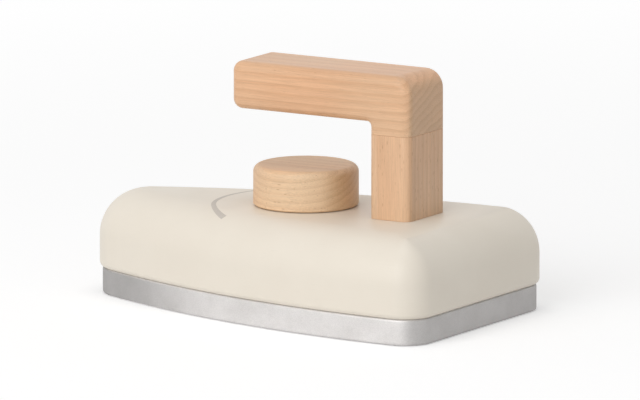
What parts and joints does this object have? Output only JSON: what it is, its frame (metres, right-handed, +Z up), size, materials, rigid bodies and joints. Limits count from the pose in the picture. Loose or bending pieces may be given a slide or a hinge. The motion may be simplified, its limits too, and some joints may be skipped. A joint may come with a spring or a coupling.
{
  "type": "toy iron",
  "caption": "Wooden toy iron: rounded painted body on a flat lacquered sole, an L-shaped wooden handle and a wooden dial that turns.",
  "frame": {"origin": "on the sole's flat face, below the middle of the overall box", "axes": "+X towards the heel and -X towards the nose, +Z up along the handle's post and the dial's axis, Y across the iron"},
  "size_m": [0.15, 0.09, 0.0855],
  "materials": {
    "silver_lacquer": "wood under a satin silver-grey lacquer",
    "cream_paint": "wood under a satin warm-white paint",
    "beech": "solid beech under a matt clear lacquer",
    "dowel_wood": "plain beech dowel rod, unfinished",
    "zinc_steel": "zinc-plated steel",
    "fibre": "brown fibre sheet"
  },
  "bodies": {
    "iron": {"sole_plate": "silver_lacquer", "body_block": "cream_paint", "sole_dowels": "dowel_wood", "handle_post": "beech", "handle_grip": "beech", "grip_dowels": "dowel_wood", "handle_screws": "zinc_steel", "friction_washer": "fibre"},
    "dial": {"dial_knob": "beech", "dial_axle": "dowel_wood", "retaining_washer": "zinc_steel", "retaining_screw": "zinc_steel"}
  },
  "joints": [
    {"name": "dial_turn", "type": "hinge", "parent": "iron", "child": "dial", "pos_m": [0.0045, 0, 0.0366], "axis": [0, 0, 1], "continuous": true}
  ]
}
